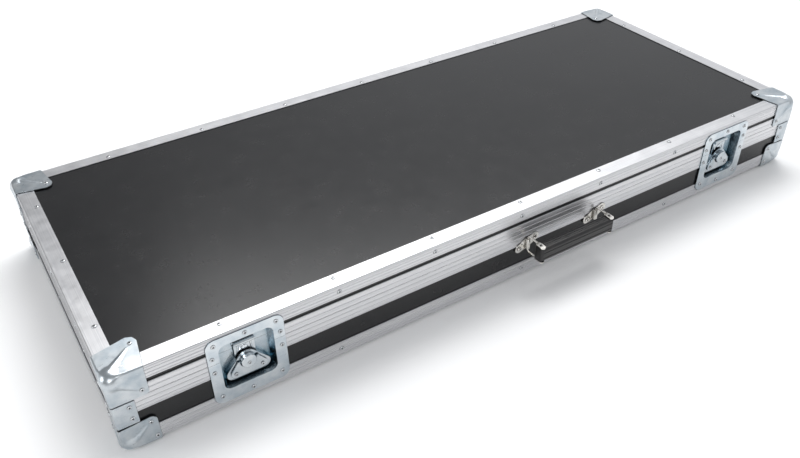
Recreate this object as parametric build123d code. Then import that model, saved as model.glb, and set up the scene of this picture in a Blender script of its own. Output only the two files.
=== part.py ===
from build123d import *
import math
import os

# A low, wide guitar flight case. X runs along its length, the handle side faces -Y and Z is up.
# All sizes are in millimetres.

# Body, measured over the aluminium extrusions
case_length = 1265.0
case_width = 514.0
base_height = 83.2
lid_height = 44.8
panel_thickness = 7.0
seam_gap = 0.3

# Aluminium extrusions
extrusion_wall = 1.3
angle_flange = 25.0
lid_angle_drop = 20.9
fold_radius = 2.0
ridge_height = 0.5
ridge_width = 2.0
angle_ridge_shares = (0.12, 0.34, 0.62, 0.9)
base_lip_ridges = (1.3, 8.75, 16.7, 22.1)
lid_lip_ridges = (1.5, 10.0)
base_lip_drop = 23.4
lid_lip_rise = 17.7
base_lip_head = 2.5
lid_lip_head = 4.0
inner_leg = 12.0
tongue_height = 2.0
tongue_width = 2.4
tongue_draft = 0.5
tongue_depth = 5.5
tongue_clearance = 0.25

# Pressed steel corners and braces
sheet = 1.5
ball_radius = 15.0
ball_depth = 10.5
foot_flat = 0.4
panel_corner_radius = 8.0
leg_width = 47.5
petal_rivet = (46.0, 44.0)
petal_radius = 11.5
petal_facets = 8
slit_inset = 4.5
slit_width = 0.7
base_leg_height = 43.3
base_leg_rivet = (39.0, 34.5)
base_leg_radius = 8.8
leg_root = 8.0
lid_leg_corner = 5.0
lid_leg_rivet = (39.5, 35.5)
edge_radius = 3.0
rib_start_radius = 10.0
rib_start_rise = 2.0
rib_end_radius = 3.0
rib_end_rise = 0.2
rib_reach = 0.84
ball_tip_room = 4.3
brace_width = 27.0
brace_gap = 0.5
brace_below_seam = 1.5

# Recessed latches
latch_inset = 177.5
dish_width = 108.0
dish_bottom = 10.4
dish_top = 123.3
dish_corner = 13.0
dish_sheet = 1.2
recess_width = 76.0
recess_bottom = 30.8
recess_top = 109.0
recess_corner = 10.0
recess_draft = 3.5
recess_depth = 14.0
cutout_clearance = 0.4
boss_height = 64.0
boss_radius = 10.5
boss_front = 1.5
boss_rounding = 1.2
shaft_radius = 6.0
running_clearance = 0.05
slide_clearance = 0.3
housing_top = 5.2
housing_sheet = 1.6
housing_lobe = (21.5, 18.0)
housing_lobe_radius = 9.5
housing_centre_radius = 14.0
crank_throw = 3.5
crank_disc_radius = 8.5
crank_disc_thickness = 1.5
crank_pin_radius = 2.2
strap_width = 29.0
strap_thickness = 2.0
strap_front = 9.6
strap_tail = 12.0
strap_roll_height = 29.0
strap_roll_radius = 3.0
guide_width = 2.5
keeper_width = 32.0
keeper_bottom = 23.0
keeper_rise = 14.0
keeper_lead_in = 4.0
wing_lobe = (19.0, 16.5)
wing_lobe_radius = 6.6
wing_thickness = 1.8
wing_pivot = 3.4
wing_knuckle_radius = 1.5
wing_knuckle_length = 3.6
wing_pin_radius = 0.8
wing_notch_clearance = 1.3
dimple_radius = 2.2
dimple_height = 0.7

# Carrying handle
handle_offset = 81.0
handle_height = 62.0
grip_length = 150.0
grip_overhang = 5.0
grip_height = 24.4
grip_depth = 18.5
grip_corner = 5.0
grip_ridge = 0.6
grip_reach = 33.0
wire_radius = 1.75
bail_bar_reach = 4.3
bail_bend = 4.0
tab_width = 9.0
tab_length = 18.0
tab_thickness = 1.8
tab_clearance = 0.25
grip_pin_radius = 2.0
arch_wall = 1.9
arch_length = 17.0
bracket_plate = 1.5
bracket_lobe = (15.0, 6.5)
bracket_lobe_radius = 7.5
bracket_centre_radius = 9.0
bracket_hole_radius = 2.1

# Hinges on the back
hinge_inset = 212.5
hinge_width = 50.0
hinge_leaf = 1.5
hinge_leaf_height = 17.0
hinge_knuckle_radius = 3.0
hinge_knuckle_length = 15.0
hinge_pin_radius = 1.4

# Foam lining
soft_clearance = 0.4
foam_below_seam = 3.0
foam_floor = 14.0
lid_foam_recess = 12.0
dish_room = 1.0
body_bay = (430.0, 370.0)
body_bay_inset = 62.5
body_bay_corner = 110.0
neck_bay_width = 84.0
bay_overlap = 30.0
head_bay = (190.0, 150.0)
head_bay_inset = 67.5
head_bay_corner = 40.0
tool_bay = (330.0, 120.0)
tool_bay_offset = (485.0, 145.0)
small_corner = 15.0

# Places that follow from the sizes above
ball_bulge = ball_radius - ball_depth
bottom = ball_bulge - foot_flat
parting = bottom + base_height
lid_start = parting + seam_gap
top = parting + lid_height
ball_reach = math.sqrt(ball_radius**2 - (ball_depth - extrusion_wall) ** 2)
corner_clear = ball_depth + ball_reach + slide_clearance
skin_out = ridge_height + sheet
inner_face = extrusion_wall + panel_thickness + extrusion_wall
lid_leg_height = lid_height - 2 * seam_gap
boss_z = bottom + boss_height
latch_place = case_length / 2 - latch_inset
strap_back = strap_front + strap_thickness
disc_front = strap_front - slide_clearance - crank_disc_thickness
crank_slack = 0.22 * crank_throw
seat_out = ridge_height
handle_z = bottom + handle_height
handle_pitch = grip_length - 2 * grip_overhang
leg_height = grip_height / 2 + tab_clearance + wire_radius
hinge_out = ridge_height + hinge_knuckle_radius
hinge_z = parting + seam_gap / 2
hinge_place = case_length / 2 - hinge_inset
latch_back = recess_depth + dish_sheet + dish_room
body_bay_centre = -case_length / 2 + body_bay_inset + body_bay[0] / 2
head_bay_centre = case_length / 2 - head_bay_inset - head_bay[0] / 2
neck_start = body_bay_centre + body_bay[0] / 2 - bay_overlap
neck_end = head_bay_centre - head_bay[0] / 2 + bay_overlap
front_reach = grip_reach + grip_depth / 2
back_reach = hinge_out + hinge_knuckle_radius
frame_shift = (front_reach - back_reach) / 2

# Each side's turn from the front, its length and the case's size across it
SIDES = {
    "front": (0, case_length, case_width),
    "right": (90, case_width, case_length),
    "back": (180, case_length, case_width),
    "left": (270, case_width, case_length),
}


def save(node, shape):
    """Write one named piece, moved so that the whole object's footprint is centred on the origin."""
    export_step(Pos(0, frame_shift, 0) * shape, f"parts/{node}.step")


def rect(u0, u1, v0, v1):
    return Pos((u0 + u1) / 2, (v0 + v1) / 2) * Rectangle(u1 - u0, v1 - v0)


def block(x0, x1, y0, y1, z0, z1):
    return Pos((x0 + x1) / 2, (y0 + y1) / 2, (z0 + z1) / 2) * Box(x1 - x0, y1 - y0, z1 - z0)


def ridge(v):
    """A low rib on the outer face of an extrusion."""
    half = ridge_width / 2
    crest = half - ridge_height
    top_edge = [(-ridge_height, v + crest), (-ridge_height, v - crest)]
    return Polygon((0, v - half), (0, v + half), *top_edge, align=None)


def bar(profile, length):
    """An extrusion along X. The profile's first axis points into the case, its second is up."""
    return extrude(Plane.YZ * profile, amount=length / 2, both=True)


def to_side(side, solid):
    turn, along, across = SIDES[side]
    return Rot(0, 0, turn) * Pos(0, -across / 2, 0) * solid


def mitre(solid, length):
    """Cut both ends of a bar at 45 degrees, so that four bars meet in a frame."""
    half = length / 2
    near = -skin_out
    far = 2 * angle_flange
    outer = [(-half + near, near), (half - near, near)]
    plan = Polygon(*outer, (half - far, far), (-half + far, far), align=None)
    return solid & extrude(plan, amount=2 * top)


def angle_profile(drop):
    """L section with its fold at the lower outer edge: one leg up the wall, one under the floor."""
    outer = rect(0, angle_flange, 0, drop) - rect(extrusion_wall, angle_flange, extrusion_wall, drop)
    corner = outer.vertices().sort_by_distance((0, 0))[0]
    profile = fillet(corner, fold_radius)
    for share in angle_ridge_shares:
        profile += ridge(drop * share + fold_radius * (1 - share))
    return profile


def base_lip_profile():
    """Channel over the top edge of the base wall, with a tongue for the lid."""
    v = parting
    leg = rect(0, extrusion_wall, v - base_lip_drop, v)
    head = rect(0, inner_face, v - base_lip_head, v)
    inside = rect(inner_face - extrusion_wall, inner_face, v - inner_leg, v)
    tongue = tongue_shape(v, tongue_height, 0)
    profile = leg + head + inside + tongue
    for below in base_lip_ridges:
        profile += ridge(v - below)
    return profile


def lid_lip_profile():
    """Channel over the lower edge of the lid wall, with a groove for the tongue."""
    v = lid_start
    leg = rect(0, extrusion_wall, v, parting + lid_lip_rise)
    head = rect(0, inner_face, v, v + lid_lip_head)
    inside = rect(inner_face - extrusion_wall, inner_face, v, v + inner_leg)
    groove = tongue_shape(parting, tongue_height + seam_gap + tongue_clearance, tongue_clearance)
    profile = leg + head + inside - groove
    for below in lid_lip_ridges:
        profile += ridge(parting + lid_lip_rise - below)
    return profile


def tongue_shape(v, height, grow):
    half = tongue_width / 2 + grow
    crest = half - tongue_draft
    low = [(tongue_depth - half, v), (tongue_depth + half, v)]
    high = [(tongue_depth + crest, v + height), (tongue_depth - crest, v + height)]
    return Polygon(*low, *high, align=None)


def recess_plan(grow, bottom_draft):
    """Rounded outline of the latch recess on the front, in case coordinates."""
    width = recess_width + 2 * grow - 2 * bottom_draft
    tall = recess_top - recess_bottom + 2 * grow - 2 * bottom_draft
    radius = recess_corner + grow - bottom_draft / 2
    middle = (recess_top + recess_bottom) / 2 + bottom
    return Pos(0, middle) * RectangleRounded(width, tall, radius)


def front_plane(x, out):
    """Sketch plane on the front: X along the case, Y up, facing out of the case."""
    return Plane(origin=(x, -case_width / 2 - out, 0), x_dir=(1, 0, 0), z_dir=(0, -1, 0))


def latch_places():
    return {"left": -latch_place, "right": latch_place}


def cut_latch_holes(solid):
    for x in latch_places().values():
        plan = recess_plan(dish_sheet + cutout_clearance, 0)
        solid -= extrude(front_plane(x, skin_out) * plan, amount=-2 * recess_depth)
    return solid


def part_at_latches(wall):
    """Boards that make up a front wall: its joins are in line with the sides of the latch holes."""
    half = recess_width / 2 + dish_sheet + cutout_clearance
    edges = [-case_length]
    for x in latch_places().values():
        edges += [x - half, x + half]
    edges.append(case_length)
    boards = []
    for x0, x1 in zip(edges, edges[1:]):
        boards += (wall & block(x0, x1, -case_width, case_width, 0, 2 * top)).solids()
    return Compound(boards)


def base_walls():
    z0 = bottom + extrusion_wall + panel_thickness
    z1 = parting - base_lip_head
    return wall_set("base", z0, z1)


def lid_walls():
    z0 = lid_start + lid_lip_head
    z1 = top - extrusion_wall - panel_thickness
    return wall_set("lid", z0, z1)


def wall_set(part, z0, z1):
    walls = {}
    for side in SIDES:
        half = SIDES[side][1] / 2 - extrusion_wall
        if side in ("left", "right"):
            half -= panel_thickness
        wall = block(-half, half, extrusion_wall, extrusion_wall + panel_thickness, z0, z1)
        walls[f"{part}_{side}_panel"] = to_side(side, wall)
    walls[f"{part}_front_panel"] = part_at_latches(cut_latch_holes(walls[f"{part}_front_panel"]))
    return walls


def deck(z0):
    """Flat panel that closes the base or the lid, with its corners rounded under the ball corners."""
    length = case_length - 2 * extrusion_wall
    width = case_width - 2 * extrusion_wall
    plan = RectangleRounded(length, width, panel_corner_radius)
    return Pos(0, 0, z0) * extrude(plan, amount=panel_thickness)


def edge_angles():
    angles = {}
    for side in SIDES:
        along = SIDES[side][1]
        length = along - 2 * corner_clear
        low = mitre(Pos(0, 0, bottom) * bar(angle_profile(angle_flange), length), along)
        high = mirror(bar(angle_profile(lid_angle_drop), length), Plane.XY)
        high = mitre(Pos(0, 0, top) * high, along)
        angles[f"base_angle_{side}"] = to_side(side, low)
        angles[f"lid_angle_{side}"] = to_side(side, high)
    angles["lid_angle_front"] = cut_latch_holes(angles["lid_angle_front"])
    return angles


def lips():
    made = {}
    for side in SIDES:
        along = SIDES[side][1]
        base = mitre(bar(base_lip_profile(), along + 2 * skin_out), along)
        lid = mitre(bar(lid_lip_profile(), along + 2 * skin_out), along)
        made[f"base_lip_{side}"] = to_side(side, base)
        made[f"lid_lip_{side}"] = to_side(side, lid)
    for name in ("base_lip_front", "lid_lip_front"):
        made[name] = cut_latch_holes(made[name])
    return made


def octant(start, size=3 * leg_width, rounding=0.0):
    """Cube that grows from one corner into the case."""
    cube = block(start, start + size, start, start + size, start, start + size)
    if rounding:
        tip = cube.vertices().sort_by_distance((start, start, start))[0]
        near = [edge for edge in cube.edges() if tip in edge.vertices()]
        cube = fillet(near, rounding)
    return cube


def leg_sketch(width, tall, rivet, lobe):
    """Outline of one leg of a corner: straight by the fold, with a lobe round its rivet."""
    start = -2 * skin_out
    shape = Polygon((start, start), (width, start), (width, leg_root), (start, tall), align=None)
    end = Pos(*rivet) * lobe
    return make_hull(shape.edges() + end.edges())


def leg_region(sketch, plane):
    """Space around one face of the corner that a leg may fill."""
    return extrude(plane * sketch, amount=2 * skin_out, both=True)


def rib(place, rivet):
    """Broad rib on one face of the corner, from the ball's edge to the rivet, where it runs out."""
    start = Vector(ball_depth, ball_depth, skin_out + rib_start_rise - rib_start_radius)
    end_depth = skin_out + rib_end_rise - rib_end_radius
    end = Vector(rivet[0] * rib_reach, rivet[1] * rib_reach, end_depth)
    line = end - start
    upwards = (Align.CENTER, Align.CENTER, Align.MIN)
    cone = Cone(rib_start_radius, rib_end_radius, line.length, align=upwards)
    return place * Plane(origin=start, z_dir=line) * cone


def slit(place):
    """Narrow gap beside the fold, where the sheet was cut before it was bent."""
    start = leg_width / 2
    cut = block(start, 2 * leg_width, slit_inset, slit_inset + slit_width, ridge_height, 2 * skin_out)
    return place * cut


def ball_corner(side_leg, side_rivet, flat):
    """Pressed corner with a ball at its tip and a leg on each of three faces.
    The corner point is the origin and the case lies towards +X, +Y and +Z."""
    skin = octant(-skin_out, rounding=edge_radius) - octant(-ridge_height)
    petal = leg_sketch(leg_width, leg_width, petal_rivet, RegularPolygon(petal_radius, petal_facets))
    # Each plane looks out of the case, and the mirrors swap the corner's axes
    low = Plane(origin=(0, 0, 0), x_dir=(0, 1, 0), z_dir=(0, 0, -1))
    front = Plane(origin=(0, 0, 0), x_dir=(1, 0, 0), z_dir=(0, -1, 0))
    swap = Plane(origin=(0, 0, 0), z_dir=(1, -1, 0))
    under = leg_region(petal, low)
    facing = leg_region(side_leg, front)
    legs = skin & (under + facing + mirror(facing, swap))
    ribs = rib(low, petal_rivet)
    front_rib = rib(front, side_rivet)
    ribs += front_rib + mirror(front_rib, swap)
    ribs -= octant(-ridge_height)
    centre = Pos(ball_depth, ball_depth, ball_depth)
    hollow = centre * Sphere(ball_radius - sheet)
    behind = extrusion_wall - slide_clearance / 3
    inside = octant(behind) - octant(behind, size=ball_tip_room)
    ball = centre * Sphere(ball_radius) - inside
    first_slit = slit(low)
    corner = legs + ribs + ball - hollow - first_slit - mirror(first_slit, swap)
    if flat:
        worn = foot_flat - ball_bulge
        corner -= block(-leg_width, 2 * leg_width, -leg_width, 2 * leg_width, -leg_width, worn)
    return corner


def corners():
    made = {}
    side_height = base_leg_height - edge_radius
    base_leg = leg_sketch(leg_width, side_height, base_leg_rivet, Circle(base_leg_radius))
    start = -2 * skin_out
    lid_leg = rect(start, leg_width, start, lid_leg_height)
    lid_leg = fillet(lid_leg.vertices().sort_by_distance((leg_width, lid_leg_height))[0], lid_leg_corner)
    low = ball_corner(base_leg, base_leg_rivet, True)
    high = ball_corner(lid_leg, lid_leg_rivet, False)
    high = mirror(high, Plane.XY)
    for part, corner, z in (("base", low, bottom), ("lid", high, top)):
        for end, sx in (("left", -1), ("right", 1)):
            for face, sy in (("front", -1), ("back", 1)):
                turned = corner if sx < 0 else mirror(corner, Plane.YZ)
                turned = turned if sy < 0 else mirror(turned, Plane.XZ)
                place = Pos(sx * case_length / 2, sy * case_width / 2, z)
                made[f"{part}_ball_corner_{face}_{end}"] = place * turned
    return made


def corner_braces():
    """Four folded steel plates that cover the upright edges of the base."""
    start = -skin_out
    outer = rect(start, brace_width, start, brace_width)
    outer = fillet(outer.vertices().sort_by_distance((start, start))[0], edge_radius)
    plan = outer - rect(-ridge_height, 2 * brace_width, -ridge_height, 2 * brace_width)
    z0 = bottom + base_leg_height + brace_gap
    z1 = parting - brace_below_seam
    brace = Pos(0, 0, z0) * extrude(plan, amount=z1 - z0)
    group = []
    for sx in (-1, 1):
        for sy in (-1, 1):
            turned = brace if sx < 0 else mirror(brace, Plane.YZ)
            turned = turned if sy < 0 else mirror(turned, Plane.XZ)
            group.append(Pos(sx * case_length / 2, sy * case_width / 2, 0) * turned)
    return Compound(group)


def dish():
    """Whole pressed dish of one latch, before it is parted between base and lid."""
    tall = dish_top - dish_bottom
    middle = (dish_top + dish_bottom) / 2 + bottom
    rim = Pos(0, middle) * RectangleRounded(dish_width, tall, dish_corner)
    rim = extrude(front_plane(0, seat_out) * rim, amount=dish_sheet)
    outer = loft([
        front_plane(0, seat_out) * recess_plan(dish_sheet, 0),
        front_plane(0, -recess_depth - dish_sheet) * recess_plan(dish_sheet, recess_draft),
    ])
    inner = loft([
        front_plane(0, seat_out + dish_sheet) * recess_plan(0, 0),
        front_plane(0, -recess_depth) * recess_plan(0, recess_draft),
    ])
    return rim + outer - inner


def latch_plane(depth):
    """Sketch plane in the latch, centred on its boss and facing out. Depth is measured inwards."""
    return Plane(origin=(0, -case_width / 2 + depth, boss_z), x_dir=(1, 0, 0), z_dir=(0, -1, 0))


def slab(sketch, front, back):
    """Solid between two depths of the latch."""
    return extrude(latch_plane(back) * sketch, amount=back - front)


def bean(lobe, lobe_radius, centre_radius):
    x, y = lobe
    left = Pos(-x, -y) * Circle(lobe_radius)
    right = Pos(x, -y) * Circle(lobe_radius)
    middle = Circle(centre_radius)
    return make_hull(left.edges() + right.edges() + middle.edges())


def latch_housing():
    """Bean shaped cover that carries the turning boss and guides the strap."""
    outside = bean(housing_lobe, housing_lobe_radius, housing_centre_radius)
    inside = bean(housing_lobe, housing_lobe_radius - housing_sheet, housing_centre_radius - housing_sheet)
    cover = slab(outside, housing_top, recess_depth)
    cover -= slab(inside, housing_top + housing_sheet, recess_depth)
    half = strap_width / 2 + slide_clearance
    guide = rect(half, half + guide_width, -strap_tail, guide_width)
    guides = guide + mirror(guide, Plane.YZ)
    cover += slab(guides & outside, housing_top + housing_sheet / 2, recess_depth)
    mouth = rect(-half, half, 0, 2 * housing_centre_radius)
    cover -= slab(mouth, housing_top + housing_sheet, recess_depth)
    cover -= slab(Circle(shaft_radius), 0, recess_depth)
    return cover


def latch_rotor():
    """Round boss, shaft, disc and crank pin in one piece."""
    boss_back = housing_top - slide_clearance
    boss = slab(Circle(boss_radius), -boss_front, boss_back)
    boss = fillet(boss.edges().filter_by(GeomType.CIRCLE).sort_by(Axis.Y)[0], boss_rounding)
    disc_back = disc_front + crank_disc_thickness
    shaft = slab(Circle(shaft_radius - running_clearance), wing_pivot, disc_back)
    disc = slab(Circle(crank_disc_radius), disc_front, disc_back)
    pin = Pos(0, -crank_throw) * Circle(crank_pin_radius)
    pin = slab(pin, disc_front, strap_back)
    hole = Rot(0, 90, 0) * Cylinder(wing_pin_radius, 4 * boss_radius)
    hole = Pos(0, -case_width / 2 + wing_pivot, boss_z) * hole
    return boss + shaft + disc + pin - hole


def wing_pin():
    """Cross pin through the boss, on which the wings fold."""
    half = boss_radius + wing_notch_clearance + wing_knuckle_length - slide_clearance
    pin = Rot(0, 90, 0) * Cylinder(wing_pin_radius, 2 * half)
    return Pos(0, -case_width / 2 + wing_pivot, boss_z) * pin


def latch_wings():
    """Folding butterfly grip, lying flat over the housing."""
    x, y = wing_lobe
    inner = boss_radius + wing_notch_clearance
    ear_x = inner + wing_knuckle_length / 2
    circles = []
    for side in (-1, 1):
        circles += (Pos(side * x, -y) * Circle(wing_lobe_radius)).edges()
        circles += (Pos(side * ear_x, -wing_thickness / 2) * Circle(wing_knuckle_length / 2)).edges()
    outline = make_hull(circles) - Circle(inner) - rect(-inner, inner, -wing_thickness, inner)
    outline -= rect(-2 * x, 2 * x, 0, inner)
    half = wing_thickness / 2
    plate = slab(outline, wing_pivot - half, wing_pivot + half)
    for side in (-1, 1):
        knuckle = Rot(0, 90, 0) * Cylinder(wing_knuckle_radius, wing_knuckle_length)
        plate += Pos(side * ear_x, -case_width / 2 + wing_pivot, boss_z) * knuckle
        dimple = Pos(side * x, -y) * Circle(dimple_radius)
        dimple = slab(dimple, wing_pivot - half - dimple_height, wing_pivot)
        plate += dimple
    bore = Rot(0, 90, 0) * Cylinder(wing_pin_radius + running_clearance, 4 * x)
    return plate - Pos(0, -case_width / 2 + wing_pivot, boss_z) * bore


def latch_strap():
    """Sliding hook plate with a slot for the crank pin and a rolled head."""
    half = strap_width / 2
    plate = slab(rect(-half, half, -strap_tail, strap_roll_height), strap_front, strap_back)
    roll_depth = strap_back - strap_roll_radius
    roll_place = Pos(0, -case_width / 2 + roll_depth, boss_z + strap_roll_height) * Rot(0, 90, 0)
    slot_half = crank_throw + crank_pin_radius + slide_clearance
    slot_up = crank_pin_radius + crank_slack + running_clearance
    slot = rect(-slot_half, slot_half, -crank_throw - slot_up, -crank_throw + slot_up)
    plate -= slab(slot, strap_front - strap_thickness, strap_back + strap_thickness)
    roll = roll_place * Cylinder(strap_roll_radius, strap_width)
    eye = roll_place * Cylinder(strap_roll_radius - strap_thickness, 2 * strap_width)
    return plate + roll - eye


def keeper():
    """Nose on the lid's half of the dish, close behind the strap's rolled head."""
    front = strap_back + slide_clearance
    v0 = keeper_bottom
    v1 = keeper_bottom + keeper_rise
    back = [(recess_depth, v0), (recess_depth, v1)]
    nose = Polygon(*back, (front, v1 - keeper_lead_in / 2), (front, v0 + keeper_lead_in), align=None)
    solid = extrude(Plane.YZ * nose, amount=keeper_width / 2, both=True)
    return Pos(0, -case_width / 2, boss_z) * solid


def latches():
    made = {}
    whole = dish()
    upper = block(-dish_width, dish_width, -case_width, 0, lid_start, 2 * top)
    lower = block(-dish_width, dish_width, -case_width, 0, 0, parting)
    pieces = {
        "latch_dish_base": whole & lower,
        "latch_dish_lid": whole & upper,
        "latch_housing": latch_housing(),
        "latch_rotor": latch_rotor(),
        "latch_wings": latch_wings(),
        "latch_wing_pin": wing_pin(),
        "latch_strap": latch_strap(),
        "latch_keeper": keeper(),
    }
    for end, x in latch_places().items():
        for name, piece in pieces.items():
            made[f"{name}_{end}"] = Pos(x, 0, 0) * piece
    return made


def handle_bracket():
    """Pressed plate with two ears and a raised arch round the upright wire."""
    x, z = bracket_lobe
    low = Pos(-x, -z) * Circle(bracket_lobe_radius)
    high = Pos(x, z) * Circle(bracket_lobe_radius)
    middle = Circle(bracket_centre_radius)
    plan = make_hull(low.edges() + high.edges() + middle.edges())
    plan -= Pos(-x, -z) * Circle(bracket_hole_radius)
    plan -= Pos(x, z) * Circle(bracket_hole_radius)
    plate = extrude(Plane.XZ * plan, amount=bracket_plate)
    plate = Pos(0, -seat_out, 0) * plate
    bore = wire_radius + running_clearance
    outer = bore + arch_wall
    arch = Cylinder(outer, arch_length)
    foot = bail_bar_reach - seat_out - bracket_plate / 3
    arch += block(-outer, outer, 0, foot, -arch_length / 2, arch_length / 2)
    arch = Pos(0, -bail_bar_reach, 0) * arch
    through = Pos(0, -bail_bar_reach, 0) * Cylinder(bore, 2 * arch_length)
    return plate + arch - through


def handle_bail():
    """Round wire bent to a U, with its ends flattened to tabs above and below the grip."""
    z = leg_height
    end = grip_reach - tab_length / 2 + wire_radius
    upper = [(0, -end, z), (0, -bail_bar_reach, z)]
    lower = [(0, -bail_bar_reach, -z), (0, -end, -z)]
    path = FilletPolyline(*upper, *lower, radius=bail_bend)
    section = Plane(origin=(0, -end, z), z_dir=(0, 1, 0)) * Circle(wire_radius)
    wire = sweep(section, path=path)
    tab = Rot(0, 0, 90) * SlotOverall(tab_length, tab_width)
    tab -= Circle(grip_pin_radius + running_clearance)
    low = grip_height / 2 + tab_clearance
    for side in (-1, 1):
        start = low if side > 0 else -low - tab_thickness
        wire += Pos(0, -grip_reach, start) * extrude(tab, amount=tab_thickness)
    return wire


def handle_grip():
    """Moulded grip with a stripe along its face, ribs on top and a pin at each end."""
    section = RectangleRounded(grip_depth, grip_height, grip_corner)
    for side in (-1, 1):
        groove = Pos(-grip_depth / 2, side * grip_height * 0.2) * Rectangle(2 * grip_ridge, 1.6)
        section -= groove
        for place in (-0.22, 0, 0.22):
            rib_place = Pos(place * grip_depth, side * grip_height / 2)
            section -= rib_place * Rectangle(1.4, 2 * grip_ridge)
    grip = extrude(Plane.YZ * section, amount=grip_length / 2, both=True)
    plan = RectangleRounded(grip_length, grip_depth, grip_corner)
    grip &= Pos(0, 0, -grip_height) * extrude(plan, amount=2 * grip_height)
    grip = Pos(0, -grip_reach, 0) * grip
    pin_half = grip_height / 2 + tab_clearance + tab_thickness + 0.8
    for side in (-1, 1):
        x = side * handle_pitch / 2
        grip += Pos(x, -grip_reach, 0) * Cylinder(grip_pin_radius, 2 * pin_half)
    return grip


def handle():
    made = {}
    face = Pos(handle_offset, -case_width / 2, handle_z)
    bracket = handle_bracket()
    bail = handle_bail()
    for end, side in (("left", -1), ("right", 1)):
        place = face * Pos(side * handle_pitch / 2, 0, 0)
        made[f"handle_bracket_{end}"] = place * bracket
        made[f"handle_bail_{end}"] = place * bail
    made["handle_grip"] = face * handle_grip()
    return made


def hinge_halves():
    """Base and lid halves of one hinge at X = 0, on the front before they are turned to the back."""
    half = hinge_width / 2
    outer = hinge_knuckle_radius
    reach = hinge_leaf_height
    leaf_front = -ridge_height - hinge_leaf
    axis = Pos(0, -hinge_out, hinge_z) * Rot(0, 90, 0)
    middle = half - hinge_knuckle_length
    clear = slide_clearance
    base = block(-half, half, leaf_front, -ridge_height, hinge_z - reach, hinge_z)
    lid = block(-half, half, leaf_front, -ridge_height, hinge_z, hinge_z + reach)
    tube = axis * Cylinder(outer, hinge_width)
    ring_clear = axis * Cylinder(outer + clear, 2 * hinge_width)
    centre = block(-middle, middle, -reach, reach, 0, top)
    centre_wide = block(-middle - clear, middle + clear, -reach, reach, 0, top)
    base = base - (ring_clear & centre_wide) + (tube - centre_wide)
    lid = lid - (ring_clear - centre) + (tube & centre)
    lid -= axis * Cylinder(hinge_pin_radius + running_clearance, 2 * hinge_width)
    base -= axis * Cylinder(hinge_pin_radius, 2 * hinge_width)
    pin = axis * Cylinder(hinge_pin_radius, hinge_width)
    return base, lid, pin


def hinges():
    base, lid, pin = hinge_halves()
    base_group = []
    lid_group = []
    for x in (-hinge_place, 0, hinge_place):
        for piece in (base, pin):
            base_group.append(to_side("back", Pos(-x, 0, 0) * piece))
        lid_group.append(to_side("back", Pos(-x, 0, 0) * lid))
    return {
        "hinge_base_leaves": Compound(base_group),
        "hinge_lid_leaves": Compound(lid_group),
    }


def pocket(size, x, y, radius):
    return Pos(x, y) * RectangleRounded(size[0], size[1], radius)


def foam_plan(front):
    """Outline of the foam inside the walls, from a given distance behind the front."""
    gap = inner_face + soft_clearance
    x = case_length / 2 - gap
    y = case_width / 2
    return rect(-x, x, -y + front, y - gap)


def front_strips(z0, z1):
    """Foam sheets on the front wall, to the left, between and to the right of the latches."""
    gap = inner_face + soft_clearance
    half = dish_width / 2
    end = case_length / 2 - gap
    y0 = -case_width / 2 + gap
    y1 = -case_width / 2 + latch_back
    inner = latch_place - half
    outer = latch_place + half
    spans = [(-end, -outer), (-inner, inner), (outer, end)]
    return [block(x0, x1, y0, y1, z0, z1) for x0, x1 in spans]


def linings():
    """Foam in the base with a pocket for the guitar, and a pad in the lid."""
    plan = foam_plan(latch_back)
    z0 = bottom + extrusion_wall + panel_thickness + soft_clearance
    z1 = parting - foam_below_seam
    foam = Pos(0, 0, z0) * extrude(plan, amount=z1 - z0)
    bays = pocket(body_bay, body_bay_centre, 0, body_bay_corner)
    neck_middle = (neck_start + neck_end) / 2
    bays += pocket((neck_end - neck_start, neck_bay_width), neck_middle, 0, small_corner)
    bays += pocket(head_bay, head_bay_centre, 0, head_bay_corner)
    tool_x, tool_y = tool_bay_offset
    bays += pocket(tool_bay, body_bay_centre + tool_x, tool_y, small_corner)
    foam -= Pos(0, 0, z0 + foam_floor) * extrude(bays, amount=base_height)
    pad_top = top - extrusion_wall - panel_thickness - soft_clearance
    pad_bottom = parting + lid_foam_recess
    pad = Pos(0, 0, pad_bottom) * extrude(plan, amount=pad_top - pad_bottom)
    return {
        "base_foam": Compound(foam.solids() + front_strips(z0, z1)),
        "lid_foam": Compound(pad.solids() + front_strips(pad_bottom, pad_top)),
    }


os.makedirs("parts", exist_ok=True)
pieces = {
    "base_bottom_panel": deck(bottom + extrusion_wall),
    "lid_top_panel": deck(top - extrusion_wall - panel_thickness),
    "base_corner_braces": corner_braces(),
}
for group in (base_walls(), lid_walls(), edge_angles(), lips(), corners()):
    pieces.update(group)
for group in (latches(), handle(), hinges(), linings()):
    pieces.update(group)
for node, shape in pieces.items():
    save(node, shape)
print(len(pieces), "pieces written")
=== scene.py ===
import bpy
import bmesh
import math
import random

import numpy as np
from mathutils import Matrix, Vector


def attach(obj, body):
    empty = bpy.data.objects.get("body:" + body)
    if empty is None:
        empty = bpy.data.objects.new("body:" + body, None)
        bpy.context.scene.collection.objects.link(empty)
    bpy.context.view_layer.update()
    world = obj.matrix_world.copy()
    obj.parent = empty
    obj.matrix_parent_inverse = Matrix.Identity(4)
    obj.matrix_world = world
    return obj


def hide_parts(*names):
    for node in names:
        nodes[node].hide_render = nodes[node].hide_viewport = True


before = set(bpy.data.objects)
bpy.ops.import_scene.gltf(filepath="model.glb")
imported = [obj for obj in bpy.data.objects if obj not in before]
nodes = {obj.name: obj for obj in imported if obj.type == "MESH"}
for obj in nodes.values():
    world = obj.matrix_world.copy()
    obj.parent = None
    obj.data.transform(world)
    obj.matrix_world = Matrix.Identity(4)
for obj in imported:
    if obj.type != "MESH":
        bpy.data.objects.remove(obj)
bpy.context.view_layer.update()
rng = random.Random(7)

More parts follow.
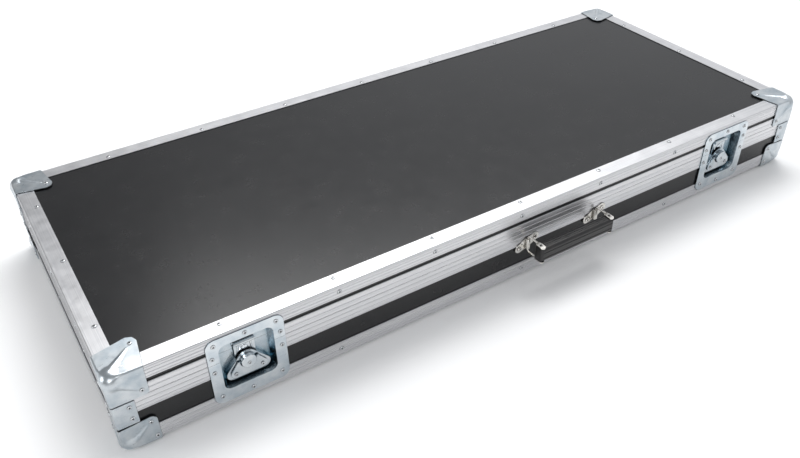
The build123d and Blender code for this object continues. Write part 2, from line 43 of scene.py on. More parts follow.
BASE, LID = "base", "lid"
FRONT, BACK = (0, -1, 0), (0, 1, 0)
UP, DOWN = (0, 0, 1), (0, 0, -1)

# The case's main sizes in metres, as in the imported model
HALF_X = 0.6325
FRONT_Y = -0.239125
BACK_Y = 0.274875
BOTTOM_Z = 0.0041
TOP_Z = BOTTOM_Z + 0.128
RIDGE = 0.0005
CORNER_SHEET = 0.0015
CORNER_SKIN = RIDGE + CORNER_SHEET
PLATE = 0.0015

# Rivets of the edging: x from the case's left end, y from its front, z in the frame
TOP_RIVETS_X = (0.153, 0.317, 0.478, 0.640, 0.800, 0.960, 1.120)
TOP_RIVETS_Y = (0.101, 0.257, 0.413)
TOP_END_INSET = 0.0187
EDGE_INSET = 0.018
LID_FLANGE_RIVETS_X = (0.316, 0.472, 0.630, 0.790, 0.957)
LID_FLANGE_Z = BOTTOM_Z + 0.1175
BASE_FLANGE_RIVETS_X = (0.313, 0.639, 0.958)
BASE_FLANGE_Z = BOTTOM_Z + 0.0125
BACK_LIP_RIVETS_X = (0.128, 0.475, 0.812, 1.137)
BASE_LIP_Z = BOTTOM_Z + 0.0705
END_RIVETS_Y = (0.130, 0.257, 0.384)

# Rivets of the pressed corners and braces: insets from the two nearest faces, and heights
LID_TOP_RIVET = (0.0465, 0.0445)
BASE_UNDER_RIVET = (0.0460, 0.0440)
LID_SIDE_RIVET = (0.0395, BOTTOM_Z + 0.0935)
BASE_SIDE_RIVETS = ((0.039, BOTTOM_Z + 0.0345), (0.0425, BOTTOM_Z + 0.0075))
BRACE_RIVETS = ((0.0195, BOTTOM_Z + 0.0535), (0.0195, BOTTOM_Z + 0.0735))

# Latches: rivets of the dish as x from its middle and z
LATCH_X = {"left": -0.455, "right": 0.455}
BOSS_Z = BOTTOM_Z + 0.064
BOSS_PROUD = 0.0015
BOSS_PIT_DROP = 0.0022
DISH_SHEET = 0.0012
DISH_FACE_Y = FRONT_Y - RIDGE - DISH_SHEET
DISH_CORNER_X = 0.0433
DISH_SIDE_X = 0.0476
LID_DISH_RIVETS = (
    (-DISH_CORNER_X, BOTTOM_Z + 0.1137),
    (DISH_CORNER_X, BOTTOM_Z + 0.1137),
    (0, BOTTOM_Z + 0.1166),
    (-DISH_SIDE_X, BOTTOM_Z + 0.0934),
    (DISH_SIDE_X, BOTTOM_Z + 0.0934),
)
BASE_DISH_RIVETS = (
    (-DISH_SIDE_X, BOTTOM_Z + 0.0691),
    (-DISH_CORNER_X, BOTTOM_Z + 0.0229),
    (DISH_SIDE_X, BOTTOM_Z + 0.0691),
    (DISH_CORNER_X, BOTTOM_Z + 0.0229),
    (0, BOTTOM_Z + 0.0166),
)
STEP_START_X, STEP_END_X = 0.0415, 0.0530
STEP_Z = BOTTOM_Z + 0.049
STEP_HALF_WIDTH, STEP_HEIGHT = 0.0007, 0.00045
HOOK_DIMPLE_Z = BOSS_Z + 0.018
HOOK_RIB_X = 0.0092
HOOK_RIB_Z = (BOSS_Z + 0.0125, BOSS_Z + 0.0255)
HOOK_RIB_HALF_WIDTH, HOOK_RIB_HEIGHT = 0.0015, 0.0011
WING_RIVET_X = 0.019
WING_RIVET_DEPTH = 0.0018
WING_RIVET_DROP = 0.0165

# Handle brackets, whose screws lie on a slant, and hinge leaves
HANDLE_X = (0.011, 0.151)
HANDLE_Z = BOTTOM_Z + 0.062
BRACKET_SCREW_X, BRACKET_SCREW_Z = 0.015, 0.0065
HINGES_X = (-0.420, 0.0, 0.420)
HINGE_RIVET_X = 0.016
BASE_LEAF_Z = BOTTOM_Z + 0.0735
LID_LEAF_Z = BOTTOM_Z + 0.0935

# Turned heads and the hook's dimple as (radius, height), from the rim to the middle
RIVET_RADIUS = 0.0033
HINGE_RIVET_RADIUS = 0.0027
WING_RIVET_RADIUS = 0.0026
BOSS_PIT_RADIUS = 0.0027
RIVET_HEAD = (
    (0.0033, -0.0004), (0.0033, 0.0003), (0.0031, 0.0008), (0.0026, 0.0012), (0.0020, 0.0014),
    (0.00155, 0.0014), (0.0013, 0.0012), (0.0012, 0.0002), (0.0006, 0.0001), (0, 0.0004),
)
SCREW_RADIUS = 0.0036
SCREW_HEAD = (
    (SCREW_RADIUS, -0.0004), (SCREW_RADIUS, 0.0006), (SCREW_RADIUS * 0.93, 0.0012),
    (SCREW_RADIUS * 0.7, 0.0017), (SCREW_RADIUS * 0.42, 0.0019), (SCREW_RADIUS * 0.36, 0.0012),
    (SCREW_RADIUS * 0.12, 0.0008), (0, 0.0008),
)
HOOK_DIMPLE = ((0.0046, -0.0003), (0.0044, 0.0001), (0.0036, 0.0008), (0.0024, 0.0012), (0, 0.00135))

# Pressed corners, in mm from the point where the case's three outer faces would meet
MM_PER_M = 1000.0
BALL_CENTRE, BALL_RADIUS = 10.5, 15.0
SKIN = 2.0
PLAIN_ROUNDING = 3.0
FOLD_ROUNDING = 2.6
TIP_ROUNDING, TIP_REACH = 10.4, 13.0
RIB_START_DEPTH, RIB_END_DEPTH = 6.6, 1.0
RIB_START_RADIUS, RIB_END_RADIUS = 10.9, 3.4
RIB_REACH = 0.86
BALL_BLEND, RIB_BLEND = 2.2, 0.6
CORNER_VOXEL = 0.0006
KEPT_SHARE = 0.35
PETAL_RIVET = np.array((46.0, 44.0))
SIDE_RIVET = {BASE: np.array((39.0, 34.5)), LID: np.array((39.5, 35.5))}
GROUND_DEPTH = 4.1
OUTER_DEPTH = 0.75
DRAW_STEPS = 6
NUDGE = 0.05
LONGEST_MOVE = 1.5
LEAST_SLOPE = 0.3


# Shader nodes

MIX_FACTOR, MIX_FIRST, MIX_SECOND = 0, 6, 7
MIX_RESULT = 2


def new_material(name):
    mat = bpy.data.materials.new(name)
    mat.use_nodes = True
    tree = mat.node_tree
    return mat, tree, tree.nodes["Principled BSDF"]


def coords(tree, scale=(1, 1, 1)):
    """Object coordinates in metres, so that a texture keeps its real size and moves with its piece."""
    place = tree.nodes.new("ShaderNodeTexCoord")
    mapping = tree.nodes.new("ShaderNodeMapping")
    mapping.inputs["Scale"].default_value = scale
    tree.links.new(place.outputs["Object"], mapping.inputs["Vector"])
    return mapping.outputs["Vector"]


def noise(tree, vector, scale, detail=3.0, roughness=0.5):
    node = tree.nodes.new("ShaderNodeTexNoise")
    node.inputs["Scale"].default_value = scale
    node.inputs["Detail"].default_value = detail
    node.inputs["Roughness"].default_value = roughness
    tree.links.new(vector, node.inputs["Vector"])
    return node.outputs["Fac"]


def ramp(tree, source, low, high, at=(0.3, 0.7)):
    """A colour that runs from low to high while the source runs between the two marks."""
    node = tree.nodes.new("ShaderNodeValToRGB")
    for element, position, color in zip(node.color_ramp.elements, at, (low, high)):
        element.position = position
        element.color = (*color, 1)
    tree.links.new(source, node.inputs["Fac"])
    return node.outputs["Color"]


def remap(tree, source, low, high, span=(0.25, 0.75)):
    """A number that runs from low to high while the source runs over the span."""
    node = tree.nodes.new("ShaderNodeMapRange")
    node.inputs["From Min"].default_value = span[0]
    node.inputs["From Max"].default_value = span[1]
    node.inputs["To Min"].default_value = low
    node.inputs["To Max"].default_value = high
    tree.links.new(source, node.inputs["Value"])
    return node.outputs["Result"]


def paint_shade_in_recesses(tree, color, shade, distance, span):
    """The colour, darkened to a shade where other surfaces lie within the distance: painted shade in
    recesses, grooves and pits.
    """
    occlusion = tree.nodes.new("ShaderNodeAmbientOcclusion")
    occlusion.samples = 6
    occlusion.inputs["Distance"].default_value = distance
    mix = tree.nodes.new("ShaderNodeMix")
    mix.data_type = "RGBA"
    mix.inputs[MIX_FIRST].default_value = (*shade, 1)
    openness = remap(tree, occlusion.outputs["AO"], 0.0, 1.0, span)
    tree.links.new(openness, mix.inputs[MIX_FACTOR])
    tree.links.new(color, mix.inputs[MIX_SECOND])
    return mix.outputs[MIX_RESULT]


def bump(tree, shader, height, strength, distance, under=None):
    node = tree.nodes.new("ShaderNodeBump")
    node.inputs["Strength"].default_value = strength
    node.inputs["Distance"].default_value = distance
    tree.links.new(height, node.inputs["Height"])
    if under is not None:
        tree.links.new(under, node.inputs["Normal"])
    tree.links.new(node.outputs["Normal"], shader.inputs["Normal"])
    return node.outputs["Normal"]


# Materials

def laminate():
    """Black phenolic film on plywood: satin, with a fine grain, faint cloudiness and rubbed places."""
    mat, tree, shader = new_material("laminate")
    where = coords(tree)
    clouds = noise(tree, where, scale=9.0, detail=4.0, roughness=0.6)
    grain = noise(tree, where, scale=2600.0, detail=2.0)
    color = ramp(tree, clouds, low=(0.0045, 0.0045, 0.0052), high=(0.0072, 0.0072, 0.0079))
    tree.links.new(color, shader.inputs["Base Color"])
    rubbed = noise(tree, where, scale=34.0, detail=6.0, roughness=0.7)
    tree.links.new(remap(tree, rubbed, low=0.22, high=0.29), shader.inputs["Roughness"])
    shader.inputs["Specular IOR Level"].default_value = 0.4
    bump(tree, shader, grain, strength=0.16, distance=0.00012)
    return mat


def extrusion(name, along):
    """Satin aluminium extrusion with die lines along its length, handling marks and painted shade in its
    grooves.
    """
    mat, tree, shader = new_material(name)
    stretch = {"x": (4, 900, 900), "y": (900, 4, 900)}[along]
    finer = tuple(2.2 * s for s in stretch)
    lines = noise(tree, coords(tree, stretch), scale=1.0, detail=3.0, roughness=0.6)
    marks = noise(tree, coords(tree), scale=55.0, detail=5.0, roughness=0.65)
    fine = noise(tree, coords(tree, finer), scale=1.0, detail=2.0)
    color = ramp(tree, lines, low=(0.56, 0.565, 0.585), high=(0.80, 0.795, 0.80), at=(0.25, 0.75))
    # Painted shade: the grooves between the ridges are darkened where surfaces close in.
    color = paint_shade_in_recesses(tree, color, shade=(0.10, 0.10, 0.12), distance=0.0016, span=(0.5, 0.93))
    tree.links.new(color, shader.inputs["Base Color"])
    shader.inputs["Metallic"].default_value = 1.0
    tree.links.new(remap(tree, marks, low=0.27, high=0.39), shader.inputs["Roughness"])
    first = bump(tree, shader, lines, strength=0.22, distance=0.00006)
    bump(tree, shader, fine, strength=0.12, distance=0.00003, under=first)
    return mat


def zinc(name, light, blue, rough, shade=None, reach=None, span=None):
    """Bright zinc plate with bluish patches; where a shade is given, its recesses get painted shade of that
    colour.
    """
    mat, tree, shader = new_material(name)
    where = coords(tree)
    patches = noise(tree, where, scale=46.0, detail=4.0, roughness=0.6)
    low = tuple(light - 0.16 + shift * blue for shift in (-0.11, -0.03, 0.03))
    high = tuple(light + shift * blue for shift in (-0.03, 0.01, 0.035))
    color = ramp(tree, patches, low, high, at=(0.28, 0.66))
    # Painted shade in recesses, when a shade is given.
    if shade:
        color = paint_shade_in_recesses(tree, color, shade, reach, span)
    tree.links.new(color, shader.inputs["Base Color"])
    shader.inputs["Metallic"].default_value = 1.0
    smears = noise(tree, coords(tree, (1, 1, 2.5)), scale=120.0, detail=5.0, roughness=0.7)
    tree.links.new(remap(tree, smears, *rough), shader.inputs["Roughness"])
    waves = noise(tree, where, scale=70.0, detail=2.0)
    spangle = noise(tree, where, scale=1500.0, detail=2.0)
    first = bump(tree, shader, waves, strength=0.22, distance=0.0003)
    bump(tree, shader, spangle, strength=0.12, distance=0.00004, under=first)
    return mat


def nickel():
    """Nickel plated steel, warmer than zinc, with faint polishing lines and painted shade in its creases."""
    mat, tree, shader = new_material("nickel")
    where = coords(tree)
    tone = noise(tree, where, scale=90.0)
    color = ramp(tree, tone, low=(0.58, 0.56, 0.52), high=(0.86, 0.84, 0.80))
    # Painted shade: the creases are darkened where surfaces close in.
    color = paint_shade_in_recesses(tree, color, shade=(0.10, 0.09, 0.08), distance=0.004, span=(0.3, 0.9))
    tree.links.new(color, shader.inputs["Base Color"])
    shader.inputs["Metallic"].default_value = 1.0
    marks = noise(tree, where, scale=260.0, detail=5.0, roughness=0.7)
    tree.links.new(remap(tree, marks, low=0.14, high=0.28), shader.inputs["Roughness"])
    polish = noise(tree, coords(tree, (300, 300, 2200)), scale=1.0, detail=2.0)
    bump(tree, shader, polish, strength=0.12, distance=0.00003)
    return mat


def grip_plastic():
    """Soft black moulded plastic with a fine pebbled skin and worn patches."""
    mat, tree, shader = new_material("grip_plastic")
    where = coords(tree)
    worn = noise(tree, where, scale=60.0, detail=4.0, roughness=0.6)
    color = ramp(tree, worn, low=(0.006, 0.006, 0.007), high=(0.017, 0.015, 0.0145))
    tree.links.new(color, shader.inputs["Base Color"])
    tree.links.new(remap(tree, worn, low=0.28, high=0.42), shader.inputs["Roughness"])
    cells = tree.nodes.new("ShaderNodeTexVoronoi")
    cells.inputs["Scale"].default_value = 900.0
    tree.links.new(where, cells.inputs["Vector"])
    bump(tree, shader, cells.outputs["Distance"], strength=0.25, distance=0.00015)
    return mat


def plush():
    """Short black plush glued over foam: soft sheen, tufts and brushed patches."""
    mat, tree, shader = new_material("plush")
    where = coords(tree)
    brushed = noise(tree, coords(tree, (1, 1.7, 1)), scale=13.0, detail=4.0, roughness=0.6)
    tufts = noise(tree, where, scale=1100.0, roughness=0.7)
    hollows = noise(tree, where, scale=90.0)
    color = ramp(tree, brushed, low=(0.010, 0.010, 0.012), high=(0.026, 0.026, 0.03))
    tree.links.new(color, shader.inputs["Base Color"])
    shader.inputs["Roughness"].default_value = 0.95
    shader.inputs["Sheen Weight"].default_value = 0.55
    shader.inputs["Sheen Roughness"].default_value = 0.45
    shader.inputs["Sheen Tint"].default_value = (0.55, 0.56, 0.6, 1)
    shader.inputs["Specular IOR Level"].default_value = 0.2
    first = bump(tree, shader, tufts, strength=0.8, distance=0.0008)
    bump(tree, shader, hollows, strength=0.35, distance=0.0016, under=first)
    return mat


LAMINATE = laminate()
ALONG_X = extrusion("aluminium_x", "x")
ALONG_Y = extrusion("aluminium_y", "y")
CORNER = zinc("zinc_corner", light=0.63, blue=0.75, rough=(0.25, 0.36))
# The dish gets painted shade in its recess, tinted teal as a painted reflection.
DISH = zinc("zinc_dish", light=0.73, blue=0.9, rough=(0.14, 0.26),
            shade=(0.02, 0.14, 0.20), reach=0.022, span=(0.15, 0.8))
# The latch gets painted shade, bluish, where its parts close in on each other.
LATCH = zinc("zinc_latch", light=0.74, blue=0.7, rough=(0.14, 0.26),
             shade=(0.04, 0.09, 0.13), reach=0.008, span=(0.25, 0.85))
# The rivets get painted shade in their pits and round their heads.
RIVET = zinc("rivet_steel", light=0.68, blue=0.3, rough=(0.2, 0.32),
             shade=(0.03, 0.03, 0.04), reach=0.0022, span=(0.3, 0.9))
NICKEL = nickel()
GRIP = grip_plastic()
PLUSH = plush()


def material_of(name):
    if name.endswith("_panel"):
        return LAMINATE
    if "_angle_" in name or "_lip_" in name:
        return ALONG_X if name.endswith(("front", "back")) else ALONG_Y
    if "dish" in name:
        return DISH
    if name.startswith("latch_"):
        return LATCH
    if name == "handle_grip":
        return GRIP
    if name.startswith("handle_"):
        return NICKEL
    if "foam" in name:
        return PLUSH
    return CORNER


def dress_nodes():
    for name, obj in nodes.items():
        obj.data.materials.clear()
        obj.data.materials.append(material_of(name))


# Small pieces

def harden(bm, degrees):
    """Smooth shading, with the edges sharper than the angle left hard."""
    for face in bm.faces:
        face.smooth = True
    for edge in bm.edges:
        if len(edge.link_faces) == 2 and edge.calc_face_angle(0) > math.radians(degrees):
            edge.smooth = False


def finish_mesh(name, bm, material, body):
    """Turn a bmesh into a piece that rides on a body."""
    mesh = bpy.data.meshes.new(name)
    bmesh.ops.recalc_face_normals(bm, faces=bm.faces)
    harden(bm, degrees=35)
    bm.to_mesh(mesh)
    bm.free()
    mesh.materials.append(material)
    obj = bpy.data.objects.new(name, mesh)
    bpy.context.scene.collection.objects.link(obj)
    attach(obj, body)


def turned(bm, profile, place, segments):
    """A turned piece, from its rim to its middle, with its base and axis set by the place's matrix."""
    rings = []
    for radius, height in profile:
        if radius == 0:
            rings.append([bm.verts.new(place @ Vector((0, 0, height)))])
            continue
        ring = []
        for i in range(segments):
            angle = 2 * math.pi * i / segments
            point = Vector((radius * math.cos(angle), radius * math.sin(angle), height))
            ring.append(bm.verts.new(place @ point))
        rings.append(ring)
    for outer, inner in zip(rings, rings[1:]):
        for i in range(segments):
            j = (i + 1) % segments
            if len(inner) == 1:
                bm.faces.new((outer[i], outer[j], inner[0]))
            else:
                bm.faces.new((outer[i], outer[j], inner[j], inner[i]))


def facing(point, normal, spin=0.0):
    """Matrix that puts a piece's base at the point and its axis along the normal."""
    turn = Vector(normal).normalized().to_track_quat("Z", "Y").to_matrix().to_4x4()
    return Matrix.Translation(Vector(point)) @ turn @ Matrix.Rotation(spin, 4, "Z")


def rivet(bm, point, normal, radius=RIVET_RADIUS):
    """Pop rivet: thin flange, low dome and the small pit that its mandrel leaves."""
    scale = radius / RIVET_RADIUS
    head = [(ring * scale, height * scale) for ring, height in RIVET_HEAD]
    turned(bm, head, facing(point, normal, rng.uniform(0, 6)), segments=18)


def screw(bm, point, normal):
    """Pan head screw with a round socket."""
    turned(bm, SCREW_HEAD, facing(point, normal, rng.uniform(0, 1.5)), segments=24)


def edging_rivets():
    """Rivets along the angles and lips, as (body, group, point, outward normal)."""
    out = []
    for x in TOP_RIVETS_X:
        out.append((LID, "top", (x - HALF_X, FRONT_Y + EDGE_INSET, TOP_Z), UP))
        out.append((LID, "top", (x - HALF_X, BACK_Y - EDGE_INSET, TOP_Z), UP))
    for y in TOP_RIVETS_Y:
        out.append((LID, "top", (-HALF_X + TOP_END_INSET, FRONT_Y + y, TOP_Z), UP))
        out.append((LID, "top", (HALF_X - TOP_END_INSET, FRONT_Y + y, TOP_Z), UP))
    for x in LID_FLANGE_RIVETS_X:
        out.append((LID, "front", (x - HALF_X, FRONT_Y, LID_FLANGE_Z), FRONT))
        out.append((LID, "back", (x - HALF_X, BACK_Y, LID_FLANGE_Z), BACK))
    for x in BASE_FLANGE_RIVETS_X:
        out.append((BASE, "front", (x - HALF_X, FRONT_Y, BASE_FLANGE_Z), FRONT))
        out.append((BASE, "back", (x - HALF_X, BACK_Y, BASE_FLANGE_Z), BACK))
        out.append((BASE, "under", (x - HALF_X, FRONT_Y + EDGE_INSET, BOTTOM_Z), DOWN))
        out.append((BASE, "under", (x - HALF_X, BACK_Y - EDGE_INSET, BOTTOM_Z), DOWN))
    for x in BACK_LIP_RIVETS_X:
        out.append((BASE, "back", (x - HALF_X, BACK_Y, BASE_LIP_Z), BACK))
    for y in END_RIVETS_Y:
        for sx in (-1, 1):
            out.append((LID, "ends", (sx * HALF_X, FRONT_Y + y, LID_FLANGE_Z), (sx, 0, 0)))
            out.append((BASE, "ends", (sx * HALF_X, FRONT_Y + y, BASE_FLANGE_Z), (sx, 0, 0)))
            out.append((BASE, "ends", (sx * HALF_X, FRONT_Y + y, BASE_LIP_Z), (sx, 0, 0)))
            out.append((BASE, "under", (sx * (HALF_X - EDGE_INSET), FRONT_Y + y, BOTTOM_Z), DOWN))
    return out


def at_corner(sx, sy, inset_x, inset_y, z):
    """The point at these distances inside the end and the long face that meet at a corner."""
    face = FRONT_Y if sy < 0 else BACK_Y
    return (sx * (HALF_X - inset_x), face - sy * inset_y, z)


def on_both_sides(body, sx, sy, inset, z):
    """One rivet on each of a corner's two upright faces."""
    return [
        (body, "corner", at_corner(sx, sy, inset, -CORNER_SKIN, z), (0, sy, 0)),
        (body, "corner", at_corner(sx, sy, -CORNER_SKIN, inset, z), (sx, 0, 0)),
    ]


def corner_rivets():
    """Rivets of the pressed corners and braces, on all four corners."""
    out = []
    for sx in (-1, 1):
        for sy in (-1, 1):
            out.append((LID, "corner", at_corner(sx, sy, *LID_TOP_RIVET, TOP_Z + CORNER_SKIN), UP))
            out += on_both_sides(LID, sx, sy, *LID_SIDE_RIVET)
            out.append((BASE, "corner", at_corner(sx, sy, *BASE_UNDER_RIVET, BOTTOM_Z - CORNER_SKIN), DOWN))
            for inset, z in BASE_SIDE_RIVETS + BRACE_RIVETS:
                out += on_both_sides(BASE, sx, sy, inset, z)
    return out


def fitting_rivets():
    """Rivets of the latch dishes and hinge leaves, and the screws of the handle's brackets."""
    out = []
    for middle in LATCH_X.values():
        for x, z in LID_DISH_RIVETS:
            out.append((LID, "dish", (middle + x, DISH_FACE_Y, z), FRONT))
        for x, z in BASE_DISH_RIVETS:
            out.append((BASE, "dish", (middle + x, DISH_FACE_Y, z), FRONT))
    for middle in HANDLE_X:
        for s in (-1, 1):
            point = (middle + s * BRACKET_SCREW_X, FRONT_Y - RIDGE - PLATE, HANDLE_Z + s * BRACKET_SCREW_Z)
            out.append((BASE, "bracket", point, FRONT))
    leaf_y = BACK_Y + RIDGE + PLATE
    for middle in HINGES_X:
        for s in (-1, 1):
            out.append((BASE, "hinge", (middle + s * HINGE_RIVET_X, leaf_y, BASE_LEAF_Z), BACK))
            out.append((LID, "hinge", (middle + s * HINGE_RIVET_X, leaf_y, LID_LEAF_Z), BACK))
    return out


def fasteners():
    """One piece for each body and group of rivets or screws."""
    groups = {}
    for body, group, point, normal in edging_rivets() + corner_rivets() + fitting_rivets():
        groups.setdefault((body, group), []).append((point, normal))
    for (body, group), places in groups.items():
        bm = bmesh.new()
        for point, normal in places:
            if group == "bracket":
                screw(bm, point, normal)
            else:
                rivet(bm, point, normal, HINGE_RIVET_RADIUS if group == "hinge" else RIVET_RADIUS)
        material, slot = (NICKEL, "nickel_steel") if group == "bracket" else (RIVET, "zinc_steel")
        finish_mesh(f"rivets_{body}_{group}", bm, material, body)


def pressed_rib(bm, start, end, half_width, height):
    """Low rib pressed out of a sheet that faces -Y, round across and run out at both ends."""
    start, end = Vector(start), Vector(end)
    across = (end - start).normalized().cross(Vector(BACK))
    steps, around = 14, 8
    sunk = 0.0003
    rings = []
    for i in range(steps + 1):
        along = i / steps
        full = max(1 - abs(2 * along - 1) ** 6, 0.02) ** 0.5
        middle = start.lerp(end, along)
        ring = []
        for j in range(around + 1):
            angle = math.pi * j / around
            side = across * (math.cos(angle) * half_width * full)
            out = Vector((0, sunk - height * full * math.sin(angle), 0))
            ring.append(bm.verts.new(middle + side + out))
        rings.append(ring)
    for first, second in zip(rings, rings[1:]):
        for j in range(around):
            bm.faces.new((first[j], first[j + 1], second[j + 1], second[j]))
        bm.faces.new((first[around], first[0], second[0], second[around]))
    bm.faces.new(rings[0])
    bm.faces.new(rings[-1])


def front_skin(node, x, z):
    """The y of a node's front skin at x and z."""
    well_in_front = Vector((x, FRONT_Y - 0.05, z))
    depsgraph = bpy.context.evaluated_depsgraph_get()
    hit, point = nodes[node].ray_cast(well_in_front, Vector(BACK), depsgraph=depsgraph)[:2]
    return point.y if hit else FRONT_Y


def hook_pressings(end, middle):
    """The dimple and the two ribs on the sliding hook."""
    bm = bmesh.new()
    y = front_skin(f"latch_strap_{end}", middle, HOOK_DIMPLE_Z)
    turned(bm, HOOK_DIMPLE, facing((middle, y, HOOK_DIMPLE_Z), FRONT), segments=24)
    low, high = HOOK_RIB_Z
    for side in (-1, 1):
        x = middle + side * HOOK_RIB_X
        pressed_rib(bm, (x, y, low), (x, y, high), HOOK_RIB_HALF_WIDTH, HOOK_RIB_HEIGHT)
    finish_mesh(f"hook_pressings_{end}", bm, LATCH, f"strap_{end}")


def dish_steps(end, middle):
    """The step across each side flange of the dish."""
    bm = bmesh.new()
    for side in (-1, 1):
        start = (middle + side * STEP_START_X, DISH_FACE_Y, STEP_Z)
        stop = (middle + side * STEP_END_X, DISH_FACE_Y, STEP_Z)
        pressed_rib(bm, start, stop, STEP_HALF_WIDTH, STEP_HEIGHT)
    finish_mesh(f"dish_steps_{end}", bm, DISH, BASE)


def latch_rivets(end, middle):
    """The rivets on the wings' lobes and the stake in the boss."""
    bm = bmesh.new()
    for side in (-1, 1):
        point = (middle + side * WING_RIVET_X, FRONT_Y + WING_RIVET_DEPTH, BOSS_Z - WING_RIVET_DROP)
        rivet(bm, point, FRONT, WING_RIVET_RADIUS)
    finish_mesh(f"wing_rivets_{end}", bm, RIVET, f"wings_{end}")
    bm = bmesh.new()
    rivet(bm, (middle, FRONT_Y - BOSS_PROUD, BOSS_Z - BOSS_PIT_DROP), FRONT, BOSS_PIT_RADIUS)
    finish_mesh(f"boss_stake_{end}", bm, RIVET, f"rotor_{end}")


def latch_details():
    for end, middle in LATCH_X.items():
        hook_pressings(end, middle)
        dish_steps(end, middle)
        latch_rivets(end, middle)


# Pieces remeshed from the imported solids

def remesh_copy(name, node, voxel):
    """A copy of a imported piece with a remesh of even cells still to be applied."""
    obj = bpy.data.objects.new(name, nodes[node].data.copy())
    bpy.context.scene.collection.objects.link(obj)
    remesh = obj.modifiers.new("remesh", "REMESH")
    remesh.mode = "VOXEL"
    remesh.voxel_size = voxel
    return obj


def apply_modifiers(obj):
    depsgraph = bpy.context.evaluated_depsgraph_get()
    mesh = bpy.data.meshes.new_from_object(obj.evaluated_get(depsgraph))
    obj.modifiers.clear()
    obj.data = mesh
    return mesh


def stand_in(obj, node, body, material):
    """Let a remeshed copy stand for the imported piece."""
    obj.data.materials.clear()
    obj.data.materials.append(material)
    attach(obj, body)
    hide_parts(node)


def rounded_box_distance(points, rounding):
    """Distance outwards from the three faces that lie a skin outside the case's, rounded where they meet."""
    short = rounding - SKIN - points
    return np.linalg.norm(np.maximum(short, 0), axis=1) + np.minimum(short.max(1), 0) - rounding.ravel()


def rib_distance(points, axis, rivet_place):
    """Distance to one broad tapered rib on the face square to the axis, from the ball to its rivet."""
    others = [i for i in range(3) if i != axis]
    start, end = np.zeros(3), np.zeros(3)
    start[others] = BALL_CENTRE
    end[others] = rivet_place * RIB_REACH
    start[axis], end[axis] = RIB_START_DEPTH, RIB_END_DEPTH
    line = end - start
    along = np.clip((points - start) @ line / (line @ line), 0, 1)
    radius = RIB_START_RADIUS + along * (RIB_END_RADIUS - RIB_START_RADIUS)
    return np.linalg.norm(points - start - along[:, None] * line, axis=1) - radius


def blend_min(first, second, width):
    """The lesser of two distances, with the seam between their surfaces run together."""
    share = np.clip(0.5 + 0.5 * (second - first) / width, 0, 1)
    return second + (first - second) * share - width * share * (1 - share)


def pressed_surface(points, part):
    """Distance to the pressed skin: folded sheet, ball at the tip and a rib on each face, run together."""
    reach = np.linalg.norm(np.maximum(points, 0), axis=1)
    rounding = FOLD_ROUNDING + TIP_ROUNDING * np.exp(-(reach / TIP_REACH) ** 2)
    folded = rounded_box_distance(points, rounding[:, None])
    ball = np.linalg.norm(points - BALL_CENTRE, axis=1) - BALL_RADIUS
    skin = blend_min(folded, ball, BALL_BLEND)
    side = SIDE_RIVET[part]
    for axis, rivet_place in ((2, PETAL_RIVET), (1, side), (0, side)):
        skin = blend_min(skin, rib_distance(points, axis, rivet_place), RIB_BLEND)
    return skin


def surface_slope(points, part):
    slope = np.zeros_like(points)
    for axis in range(3):
        nudge = np.zeros(3)
        nudge[axis] = NUDGE
        rise = pressed_surface(points + nudge, part) - pressed_surface(points - nudge, part)
        slope[:, axis] = rise / (2 * NUDGE)
    return slope / np.maximum(np.linalg.norm(slope, axis=1), LEAST_SLOPE)[:, None]


def pressed_corner(part, face, end):
    """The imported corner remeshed, with its outer skin drawn onto the pressed surface."""
    node = f"{part}_ball_corner_{face}_{end}"
    obj = remesh_copy(f"pressed_{part}_{face}_{end}", node, CORNER_VOXEL)
    mesh = apply_modifiers(obj)
    world = np.zeros(len(mesh.vertices) * 3)
    mesh.vertices.foreach_get("co", world)
    at_left, at_front, at_bottom = end == "left", face == "front", part == BASE
    sign = np.array([1 if near else -1 for near in (at_left, at_front, at_bottom)])
    tip = np.array((-HALF_X * sign[0], FRONT_Y if at_front else BACK_Y, BOTTOM_Z if at_bottom else TOP_Z))
    points = (world.reshape(-1, 3) - tip) * sign * MM_PER_M
    outer = -rounded_box_distance(points, np.full((1, 1), PLAIN_ROUNDING)) < OUTER_DEPTH
    moved = points[outer]
    for step in range(DRAW_STEPS):
        value = pressed_surface(moved, part)
        moved -= surface_slope(moved, part) * np.clip(value, -LONGEST_MOVE, LONGEST_MOVE)[:, None]
    if at_bottom:
        moved[:, 2] = np.maximum(moved[:, 2], -GROUND_DEPTH)
    points[outer] = moved
    mesh.vertices.foreach_set("co", (points * sign / MM_PER_M + tip).ravel())
    thin = obj.modifiers.new("thin", "DECIMATE")
    thin.ratio = KEPT_SHARE
    mesh = apply_modifiers(obj)
    bm = bmesh.new()
    bm.from_mesh(mesh)
    harden(bm, degrees=38)
    bm.to_mesh(mesh)
    bm.free()
    stand_in(obj, node, part, CORNER)


def lining(node, body, voxel):
    """Plush over foam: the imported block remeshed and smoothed, so that its cut edges are round."""
    obj = remesh_copy(node.replace("foam", "plush"), node, voxel)
    smooth = obj.modifiers.new("smooth", "SMOOTH")
    smooth.factor = 0.5
    smooth.iterations = 5
    mesh = apply_modifiers(obj)
    for polygon in mesh.polygons:
        polygon.use_smooth = True
    stand_in(obj, node, body, PLUSH)


# Floor, light and camera

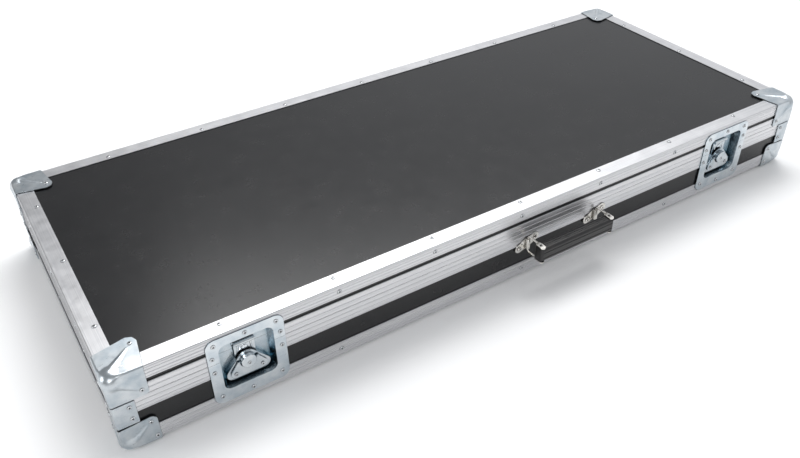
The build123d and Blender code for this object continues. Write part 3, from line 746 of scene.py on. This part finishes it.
def floor():
    half = 12.0
    corners = [(-half, -half, 0), (half, -half, 0), (half, half, 0), (-half, half, 0)]
    mesh = bpy.data.meshes.new("floor")
    mesh.from_pydata(corners, [], [(0, 1, 2, 3)])
    mat, tree, shader = new_material("floor_paper")
    clouds = noise(tree, coords(tree), scale=3.0)
    color = ramp(tree, clouds, low=(0.93, 0.93, 0.93), high=(0.96, 0.96, 0.96))
    tree.links.new(color, shader.inputs["Base Color"])
    shader.inputs["Roughness"].default_value = 0.9
    mesh.materials.append(mat)
    obj = bpy.data.objects.new("floor", mesh)
    bpy.context.scene.collection.objects.link(obj)


def soft_light(name, place, target, size, power):
    """Rectangular area light of a size in metres and a power in watts."""
    data = bpy.data.lights.new(name, "AREA")
    data.shape = "RECTANGLE"
    data.size, data.size_y = size
    data.energy = power
    obj = bpy.data.objects.new(name, data)
    obj.location = place
    obj.rotation_euler = (Vector(target) - Vector(place)).to_track_quat("-Z", "Y").to_euler()
    bpy.context.scene.collection.objects.link(obj)


def studio_world():
    """Pale all round, a little brighter above, and about twice as strong from the right."""
    world = bpy.data.worlds.new("studio")
    world.use_nodes = True
    tree = world.node_tree
    place = tree.nodes.new("ShaderNodeTexCoord")
    split = tree.nodes.new("ShaderNodeSeparateXYZ")
    tree.links.new(place.outputs["Generated"], split.inputs["Vector"])
    shade = ramp(tree, split.outputs["Z"], low=(0.80, 0.81, 0.83), high=(0.93, 0.95, 0.98), at=(0.0, 0.5))
    tree.links.new(shade, tree.nodes["Background"].inputs["Color"])
    strength = remap(tree, split.outputs["X"], low=0.4, high=0.82, span=(0.1, 0.5))
    tree.links.new(strength, tree.nodes["Background"].inputs["Strength"])
    bpy.context.scene.world = world


def photo_camera():
    """Camera at the photograph's viewing angle, for an image 800 pixels wide."""
    image_width, focal_length = 800.0, 815.5
    sensor_width = 36.0
    camera = bpy.data.cameras.new("camera")
    camera.sensor_fit = "HORIZONTAL"
    camera.sensor_width = sensor_width
    camera.lens = focal_length * sensor_width / image_width
    camera.clip_end = 60.0
    camera.clip_start = 0.02
    place = Vector((-0.6813, -0.98303, 0.8461))
    right = Vector((0.84432, -0.53569, -0.01263))
    forward = Vector((0.42145, 0.67845, -0.60173))
    up = right.cross(forward)
    eye = bpy.data.objects.new("camera", camera)
    eye.matrix_world = Matrix((
        (right.x, up.x, -forward.x, place.x),
        (right.y, up.y, -forward.y, place.y),
        (right.z, up.z, -forward.z, place.z),
        (0, 0, 0, 1),
    ))
    bpy.context.scene.collection.objects.link(eye)
    bpy.context.scene.camera = eye


dress_nodes()
fasteners()
latch_details()
for part in (BASE, LID):
    for face in ("front", "back"):
        for end in ("left", "right"):
            pressed_corner(part, face, end)
lining("base_foam", BASE, voxel=0.005)
lining("lid_foam", LID, voxel=0.004)

floor()
soft_light("overhead", place=(0.7, 1.1, 2.6), target=(0, 0, 0), size=(2.4, 1.6), power=70)
soft_light("front_fill", place=(-1.9, -2.6, 1.9), target=(0, 0, 0.05), size=(1.2, 1.0), power=26)
soft_light("left_kick", place=(-2.8, 0.4, 0.9), target=(0, 0, 0.05), size=(1.2, 0.9), power=15)
studio_world()
photo_camera()
bpy.context.scene.view_settings.view_transform = "Standard"

bpy.context.view_layer.update()
